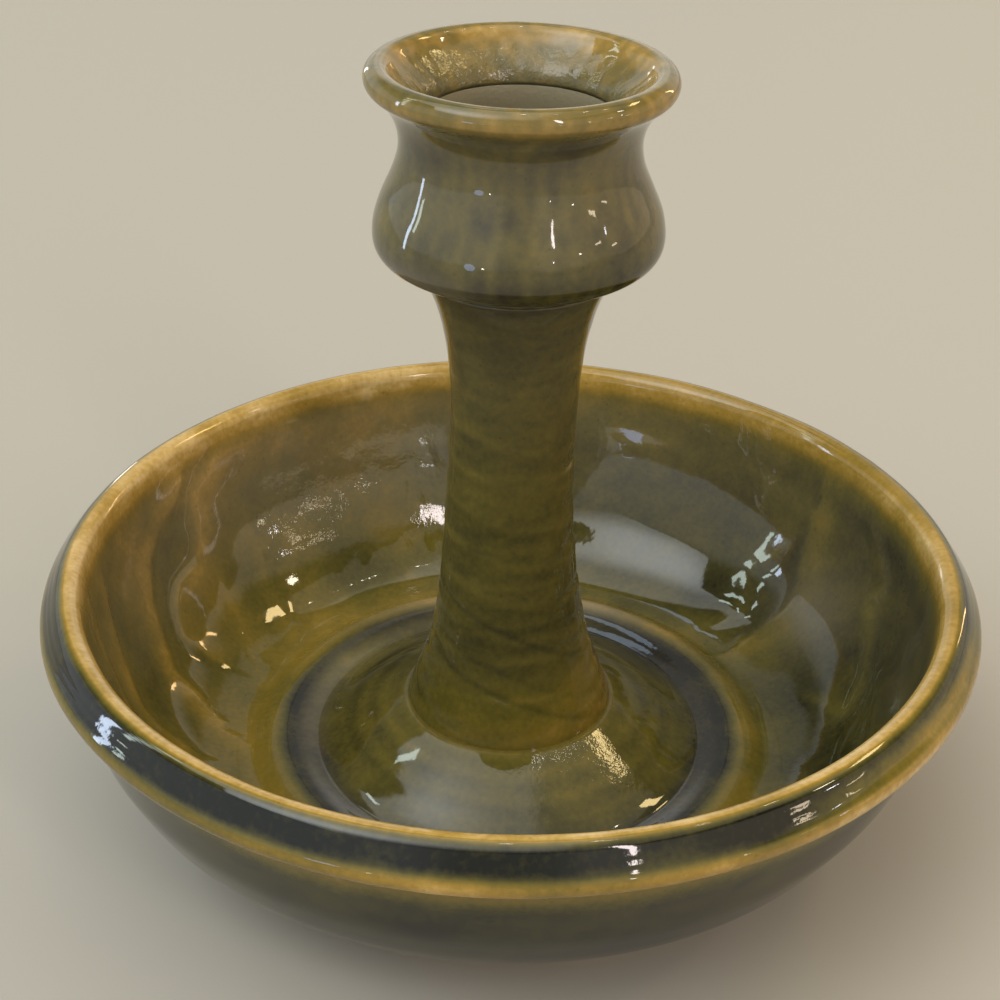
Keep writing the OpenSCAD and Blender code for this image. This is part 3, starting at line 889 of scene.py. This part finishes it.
# Greyer under the cup's belly at the left: painted reflection.
painted_reflection_under_left = bell(z - 91, 3) * facing(cup_angle, -140, 32)
note(cup_glaze, "veil_and_reflection", 0.85 * ramp(z, 89, 102) * (1 - 0.5 * bell(cup_along - S_LIP, 4)) + 2.4 * painted_reflection_under_left)
print("haze on the dish up to", round(float(veil_and_reflection.max()), 2))

# %% Scar notes
on_funnel = ramp(cup_along, S_LIP + 3, S_LIP + 5)
note(cup_glaze, "scar", on_funnel * (0.3 + 0.6 * facing(cup_angle, 115, 55)))
note(stem_glaze, "scar", np.zeros(len(stem_along)))
pitted = facing(dish_angle, 122, 18) * on_wall * (1 - ramp(dish_along, inner_s(16), inner_s(11)))
mottled = on_floor * facing(dish_angle, -58, 24)
note(dish_glaze, "scar", 0.2 * pitted + 0.3 * mottled + 0.05 * in_band)
print("pitted vertices on the back wall:", int((pitted > 0.5).sum()))

# %% [markdown]
# ## Materials
# Each material is a tree of nodes. It could be wired by hand in the shader editor. Here each colour is
# written as a web colour and turned to linear light by one small function, and one more adds a
# node with its settings and its links, so that a material reads from top to bottom.


# %% Colour and node helpers
def linear(hex_colour):
    """A web colour as linear light with full alpha."""
    parts = [int(hex_colour[i:i + 2], 16) / 255 for i in (1, 3, 5)]
    return tuple(c / 12.92 if c <= 0.04045 else ((c + 0.055) / 1.055) ** 2.4 for c in parts) + (1.0,)


def add(tree, kind, inputs=(), stops=(), **settings):
    """A node of one kind, with its settings and its links.

    inputs gives each input a number, a colour as text, a node, or one output of a node.
    stops are the places and colours of a colour ramp.
    """
    node = tree.nodes.new(kind)
    for key, value in settings.items():
        setattr(node, key, value)
    for key, value in dict(inputs).items():
        if isinstance(value, bpy.types.Node):
            value = next(out for out in value.outputs if out.enabled)
        if isinstance(value, bpy.types.NodeSocket):
            tree.links.new(value, node.inputs[key])
        else:
            node.inputs[key].default_value = linear(value) if isinstance(value, str) else value
    for i, (place, colour) in enumerate(stops):
        point = node.color_ramp.elements[i] if i < 2 else node.color_ramp.elements.new(place)
        point.position, point.color = place, linear(colour)
    return node


def new_material(name):
    """A material with an empty tree of nodes."""
    material = bpy.data.materials.new(name)
    material.use_nodes = True
    tree = material.node_tree
    tree.nodes.clear()
    return material, tree


# %% [markdown]
# ### Olive glaze
# A lead-free stoneware glaze stained with iron, poured and fired to glass. It gives the eye a deep wet shine:
# mirror smooth where it is thick, and satin where it is thin. Dark specks of iron about half a millimetre
# wide sit in it, and soft clouds a few millimetres wide, where it crept. Its faint orange peel is
# really about a millimetre wide, and is drawn twice as coarse, so that it shows.


# %% Olive glaze
def olive_glaze():
    """Amber to black green by thickness, milky by the veil, rough by scar; the first two notes carry painted
    light in places.
    """
    material, tree = new_material("olive_iron_glaze")
    place = add(tree, "ShaderNodeTexCoord").outputs["Object"]
    pool = add(tree, "ShaderNodeAttribute", attribute_name="pool").outputs["Fac"]
    veil_and_reflection = add(tree, "ShaderNodeAttribute", attribute_name="veil_and_reflection").outputs["Fac"]
    clouds = add(tree, "ShaderNodeTexNoise", {"Vector": place, "Scale": 220, "Detail": 5, "Roughness": 0.68})
    fine = add(tree, "ShaderNodeTexNoise", {"Vector": place, "Scale": 1100, "Detail": 2})
    strength = add(tree, "ShaderNodeMapRange", {"Value": veil_and_reflection, "To Min": 0.22, "To Max": 0.42})
    shift = add(tree, "ShaderNodeMath", {0: clouds, 1: 0.5}, operation="SUBTRACT")
    shift = add(tree, "ShaderNodeMath", {0: shift, 1: strength, 2: pool}, operation="MULTIPLY_ADD")
    grain = add(tree, "ShaderNodeMath", {0: fine, 1: 0.5}, operation="SUBTRACT")
    thick = add(tree, "ShaderNodeMath", {0: grain, 1: 0.2, 2: shift}, operation="MULTIPLY_ADD")
    # The ramp runs from thin amber to deep black green; its darkest end also carries the painted shade of the
    # outer wall and the painted dark reflection on the rolled rim.
    colour = add(tree, "ShaderNodeValToRGB", {"Fac": thick}, [
        (0.0, "#d0b072"), (0.1, "#b8964e"), (0.2, "#a08034"), (0.4, "#7b6726"), (0.6, "#5d5420"),
        (0.8, "#3f3b18"), (1.0, "#11120a")])
    # Grey mixed in by the veil note: milky glaze, and painted reflection in places.
    milk_and_reflection = add(tree, "ShaderNodeMath", {0: veil_and_reflection, 1: 0.2}, operation="MULTIPLY")
    colour = add(tree, "ShaderNodeMix", {"Factor": milk_and_reflection, "A": colour, "B": "#958b7c"}, data_type="RGBA")
    specks = add(tree, "ShaderNodeTexVoronoi", {"Vector": place, "Scale": 520})
    dark = add(tree, "ShaderNodeMapRange",
               {"Value": specks, "From Min": 0.06, "From Max": 0.16, "To Min": 0.2, "To Max": 0})
    colour = add(tree, "ShaderNodeMix", {"Factor": dark, "A": colour, "B": "#2b210c"}, data_type="RGBA")
    rough = add(tree, "ShaderNodeMapRange",
                {"Value": thick, "From Min": 0.05, "From Max": 0.4, "To Min": 0.11, "To Max": 0.045})
    peel = add(tree, "ShaderNodeTexNoise", {"Vector": place, "Scale": 420, "Detail": 2})
    bump = add(tree, "ShaderNodeBump", {"Height": peel, "Strength": 0.05, "Distance": 0.0003})
    scar = add(tree, "ShaderNodeAttribute", attribute_name="scar").outputs["Fac"]
    scars = add(tree, "ShaderNodeTexNoise", {"Vector": place, "Scale": 760, "Detail": 3, "Roughness": 0.6})
    bump = add(tree, "ShaderNodeBump",
               {"Height": scars, "Strength": scar, "Distance": 0.0003, "Normal": bump})
    shader = add(tree, "ShaderNodeBsdfPrincipled",
                 {"Base Color": colour, "Roughness": rough, "Normal": bump, "IOR": 1.52})
    add(tree, "ShaderNodeOutputMaterial", {"Surface": shader})
    return material


# %% [markdown]
# ### Bare stoneware and slip
# Under the glaze the clay is a buff stoneware with sand in it, dry and matt to the eye. It shows only on the
# foot, where it was wiped clean so that it would not stick to the kiln shelf, and in the cup, where a
# thin wash of glaze ran down. The turning tool left shallow rings there, about 4 mm apart. A wave
# texture makes 20 / (2 pi) rings for each unit, so its scale is worked out from their spacing.


# %% Stoneware
WAVES_PER_UNIT = 20 / (2 * pi)


def stoneware(name, pale, dark, ring_mm):
    """Fired clay with sand in it, and rings ring_mm apart."""
    material, tree = new_material(name)
    place = add(tree, "ShaderNodeTexCoord").outputs["Object"]
    wash = add(tree, "ShaderNodeAttribute", attribute_name="wash").outputs["Fac"]
    clouds = add(tree, "ShaderNodeTexNoise", {"Vector": place, "Scale": 120, "Detail": 4})
    colour = add(tree, "ShaderNodeValToRGB", {"Fac": clouds}, [(0.3, dark), (0.7, pale)])
    sand = add(tree, "ShaderNodeTexVoronoi", {"Vector": place, "Scale": 700})
    grain = add(tree, "ShaderNodeMapRange",
                {"Value": sand, "From Min": 0.1, "From Max": 0.25, "To Min": 0.5, "To Max": 0})
    colour = add(tree, "ShaderNodeMix", {"Factor": grain, "A": colour, "B": "#5b4025"}, data_type="RGBA")
    colour = add(tree, "ShaderNodeMix", {"Factor": wash, "A": colour, "B": "#8b8268"}, data_type="RGBA")
    rough = add(tree, "ShaderNodeMapRange", {"Value": wash, "To Min": 0.85, "To Max": 0.25})
    scale = 1 / (ring_mm * MM * WAVES_PER_UNIT)
    rings = add(tree, "ShaderNodeTexWave", {"Vector": place, "Scale": scale, "Distortion": 0.4, "Detail": 1},
                wave_type="RINGS", rings_direction="Z")
    fine = add(tree, "ShaderNodeTexNoise", {"Vector": place, "Scale": 1500, "Detail": 2})
    height = add(tree, "ShaderNodeMath", {0: rings.outputs["Fac"], 1: fine}, operation="ADD")
    bump = add(tree, "ShaderNodeBump", {"Height": height, "Strength": 0.35, "Distance": 0.0002})
    shader = add(tree, "ShaderNodeBsdfPrincipled", {"Base Color": colour, "Roughness": rough, "Normal": bump})
    add(tree, "ShaderNodeOutputMaterial", {"Surface": shader})
    return material


# %% Dress the pieces
glaze_material = olive_glaze()
clay_material = stoneware("bare_buff_stoneware", "#c2a077", "#a58660", 4.4)
slip_material = stoneware("fired_joint_slip", "#cdb693", "#b79e78", 9.4)
for name in ("stem_joint_slip", "cup_joint_slip"):
    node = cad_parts[name]
    node.data.materials.clear()
    node.data.materials.append(slip_material)

GLAZED, CLAY = ("olive_glaze", glaze_material), ("bare_stoneware", clay_material)
for piece, node, (slot, material) in (
        (dish_glaze, "dish_glaze", GLAZED), (stem_glaze, "stem_glaze", GLAZED),
        (cup_glaze, "cup_glaze", GLAZED), (dish_body, "dish", CLAY), (stem_body, "stem", CLAY),
        (coil_body, "stem_foot_coil", CLAY), (cup_body, "candle_cup", CLAY)):
    piece.data.materials.append(material)
    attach(piece, BODY)
    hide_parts(node)
    print(piece.name, "replaces", node, "in", material.name)

# %% [markdown]
# ## Floor and light
# The candlestick stands on a plain pale floor in a studio. Most of the light is soft and comes from a tent
# round it. Glossy glaze shows its lamps, so small ones are laid out like those of a room: a tall window at
# the left, golden ones at the back right, a pink one in front, and spots that give it its sparkle. A
# picture of a room would do that too, but lamps are easy to move one at a time.

# %% Floor
floor_material, tree = new_material("pale_studio_floor")
shader = add(tree, "ShaderNodeBsdfPrincipled", {"Base Color": "#b2ac9f", "Roughness": 0.8})
add(tree, "ShaderNodeOutputMaterial", {"Surface": shader})
bpy.ops.object.select_all(action="DESELECT")
bpy.ops.mesh.primitive_plane_add(size=8)
floor = bpy.context.object
floor.name = "studio_floor"
floor.data.materials.append(floor_material)
floor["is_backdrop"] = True
print("floor", tuple(floor.dimensions))

# %% Lamps
CENTRE = Vector((0, 0, 0.05))


def lamp(name, azimuth, elevation, width, height, brightness, colour, shape="RECTANGLE"):
    """A flat lamp, a metre away and facing the piece. A brightness of 1 looks white."""
    a, e = radians(azimuth), radians(elevation)
    way = Vector((cos(a) * cos(e), sin(a) * cos(e), sin(e)))
    data = bpy.data.lights.new(name, "AREA")
    data.shape, data.size, data.size_y = shape, width, height
    data.color = linear(colour)[:3]
    data.energy = brightness * pi * width * height * (1 if shape == "RECTANGLE" else pi / 4)
    lit = bpy.data.objects.new(name, data)
    bpy.context.scene.collection.objects.link(lit)
    lit.location = CENTRE + way
    lit.rotation_euler = way.to_track_quat("Z", "Y").to_euler()
    lit.visible_camera = False


lamp("tall_window", 175, 6, 0.045, 0.40, 13, "#d5e6ff")
lamp("back_window", 116, 6, 0.05, 0.24, 5, "#f4f2ea")
lamp("small_window", -126, 3, 0.15, 0.13, 5, "#a9c2f2", shape="ELLIPSE")
lamp("warm_lamp", -3, 42, 0.07, 0.07, 26, "#fff3d8", shape="ELLIPSE")
lamp("pink_window", -61, 36, 0.06, 0.44, 22, "#fff0ee", shape="ELLIPSE")
lamp("left_spot", -116, 4, 0.022, 0.022, 48, "#fff1dc", shape="DISK")
lamp("right_spot", -42, 15, 0.022, 0.022, 48, "#fff1dc", shape="DISK")
lamp("far_spot", -63, 11, 0.022, 0.022, 48, "#ffffff", shape="DISK")
lamp("near_spot", -15, 20, 0.03, 0.03, 40, "#f6f4ff", shape="DISK")
lamp("gold_strip", 32, 47, 0.24, 0.08, 15, "#ffdf9c")
lamp("gold_window", 44, 16, 0.028, 0.32, 16, "#ffcf8c")
lamp("blue_window", 97, 50, 0.12, 0.09, 3, "#b9cfe6", shape="ELLIPSE")

# %% Chains of small lamps
CHAINS = {
    "left_chain": (
        ((180, 14), (178, 23), (174, 32), (168, 40), (157, 48)), 0.045, 0.12, 9, "#dcefe6", "RECTANGLE"),
    "right_chain": (((-25, 18.5), (-11, 12.5)), 0.09, 0.02, 12, "#ffe9c8", "RECTANGLE"),
    "roof_spot": (((73, 85), (25, 78), (30, 67), (34, 60)), 0.02, 0.02, 48, "#fff4e4", "DISK"),
}
for name, (places, width, height, glare, colour, shape) in CHAINS.items():
    for i, (azimuth, elevation) in enumerate(places):
        lamp(f"{name}_{i + 1}", azimuth, elevation, width, height, glare, colour, shape=shape)
print(len(bpy.data.lights), "lamps")

# %% [markdown]
# ### The light tent
# A tent of white cloth stands round the piece. Its roof glows brightest at the left front, where a lamp
# shines on it from above, and it ends in straight edges that show in the glaze. A pale panel hangs
# behind it, and a grey card hangs in front, so that the glaze shows something darker there. The
# world's colour draws the tent from the direction alone: on the roof, that is x / z and y / z.

# %% The light tent round the piece
world = bpy.data.worlds.new("studio")
bpy.context.scene.world = world
world.use_nodes = True
tree = world.node_tree
tree.nodes.clear()
MATHS, RANGE, SMOOTH = "ShaderNodeMath", "ShaderNodeMapRange", {"interpolation_type": "SMOOTHSTEP"}
way = add(tree, "ShaderNodeTexCoord").outputs["Generated"]
axes = add(tree, "ShaderNodeSeparateXYZ", {0: way})
above = add(tree, MATHS, {0: axes.outputs["Z"], 1: 0.02}, operation="MAXIMUM")
over = add(tree, MATHS, {0: 1.0, 1: above}, operation="DIVIDE")
roof = add(tree, "ShaderNodeVectorMath", {0: way, "Scale": over}, operation="SCALE")
roof_axes = add(tree, "ShaderNodeSeparateXYZ", {0: roof})
roof_x, roof_y = roof_axes.outputs["X"], roof_axes.outputs["Y"]

# %% Walls of the tent
back = add(tree, RANGE,
           {"Value": axes.outputs["Y"], "From Min": -0.3, "From Max": 0.2, "To Max": 0.19}, **SMOOTH)
up = add(tree, MATHS, {0: axes.outputs["Z"], 1: back}, operation="ADD")
wall = add(tree, "ShaderNodeValToRGB", {"Fac": up}, [
    (0.0, "#c8c8c8"), (0.05, "#f4f4f4"), (0.56, "#e8e8e8"), (0.68, "#6a6a6a"), (1.0, "#5c5c5c")])
wall = add(tree, "ShaderNodeRGBToBW", {"Color": wall})

# %% Roof of the tent
spot = add(tree, "ShaderNodeVectorMath", {0: roof, 1: (-0.65, -0.38, 1)}, operation="DISTANCE")
glow = add(tree, RANGE,
           {"Value": spot, "From Max": 0.75, "To Min": 3.6, "To Max": 0}, interpolation_type="SMOOTHERSTEP")
level = add(tree, RANGE,
            {"Value": roof_x, "From Min": 0.10, "From Max": 0.28, "To Min": 1.6, "To Max": 0.55}, **SMOOTH)
glow = add(tree, MATHS, {0: glow, 1: level}, operation="ADD")
left_edge = add(tree, RANGE, {"Value": roof_y, "From Min": 0.02, "From Max": -0.4, "To Max": 0.6})
left_edge = add(tree, MATHS, {0: left_edge, 1: roof_x}, operation="ADD")
left_edge = add(tree, MATHS, {0: roof_y, 1: 0.3, 2: left_edge}, operation="MULTIPLY_ADD")
right_edge = add(tree, MATHS, {0: roof_y, 1: -0.33, 2: roof_x}, operation="MULTIPLY_ADD")
EDGES = ((left_edge, -0.74, -0.69), (right_edge, 0.88, 0.82), (roof_y, 0.53, 0.47), (roof_y, -1.3, -0.9))
for edge, start, end in EDGES:
    inside = add(tree, RANGE, {"Value": edge, "From Min": start, "From Max": end}, **SMOOTH)
    glow = add(tree, MATHS, {0: glow, 1: inside}, operation="MULTIPLY")
brightness = add(tree, MATHS, {0: glow, 1: wall}, operation="ADD")

# %% Back panel, grey card and colour of the tent
behind = add(tree, MATHS, {0: roof_x}, operation="ABSOLUTE")
behind = add(tree, RANGE, {"Value": behind, "From Min": 0.75, "From Max": 0.5, "To Max": 0.32}, **SMOOTH)
panel = add(tree, RANGE, {"Value": roof_y, "From Min": 0.80, "From Max": 0.92}, **SMOOTH)
panel = add(tree, MATHS, {0: panel, 1: behind}, operation="MULTIPLY")
brightness = add(tree, MATHS, {0: brightness, 1: panel}, operation="ADD")
ahead = add(tree, MATHS, {0: axes.outputs["Y"], 1: -0.02}, operation="MINIMUM")
beside = add(tree, MATHS, {0: axes.outputs["X"], 1: ahead}, operation="DIVIDE")
beside = add(tree, MATHS, {0: beside}, operation="ABSOLUTE")
card = add(tree, RANGE, {"Value": beside, "From Min": 0.45, "From Max": 0.10, "To Max": 0.45}, **SMOOTH)
low = add(tree, RANGE, {"Value": axes.outputs["Z"], "From Min": 0.84, "From Max": 0.74}, **SMOOTH)
card = add(tree, MATHS, {0: card, 1: low}, operation="MULTIPLY")
card = add(tree, MATHS, {0: 1.0, 1: card}, operation="SUBTRACT")
brightness = add(tree, MATHS, {0: brightness, 1: card}, operation="MULTIPLY")
side = add(tree, RANGE, {"Value": axes.outputs["X"], "From Min": -0.6, "From Max": 0.9})
tint = add(tree, "ShaderNodeValToRGB", {"Fac": side}, [
    (0.0, "#eef4f8"), (0.5, "#fffdf6"), (1.0, "#ffebcc")])
sky = add(tree, "ShaderNodeBackground", {"Color": tint, "Strength": brightness})
backdrop = add(tree, "ShaderNodeBackground", {"Color": "#dedcd8", "Strength": 1.0})
seen = add(tree, "ShaderNodeLightPath").outputs["Is Camera Ray"]
sky = add(tree, "ShaderNodeMixShader", {0: seen, 1: sky, 2: backdrop})
add(tree, "ShaderNodeOutputWorld", {"Surface": sky})
bpy.context.scene.view_settings.view_transform = "Standard"
print("light tent drawn by", len(tree.nodes), "nodes")

# %% [markdown]
# ## Sizes
# The piece shown has to be as large as the one drawn, which is easily lost by a modifier or a swell.

# %% Sizes and the last line
low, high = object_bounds()
print("shown size in mm", [round(x / MM, 1) for x in high - low])
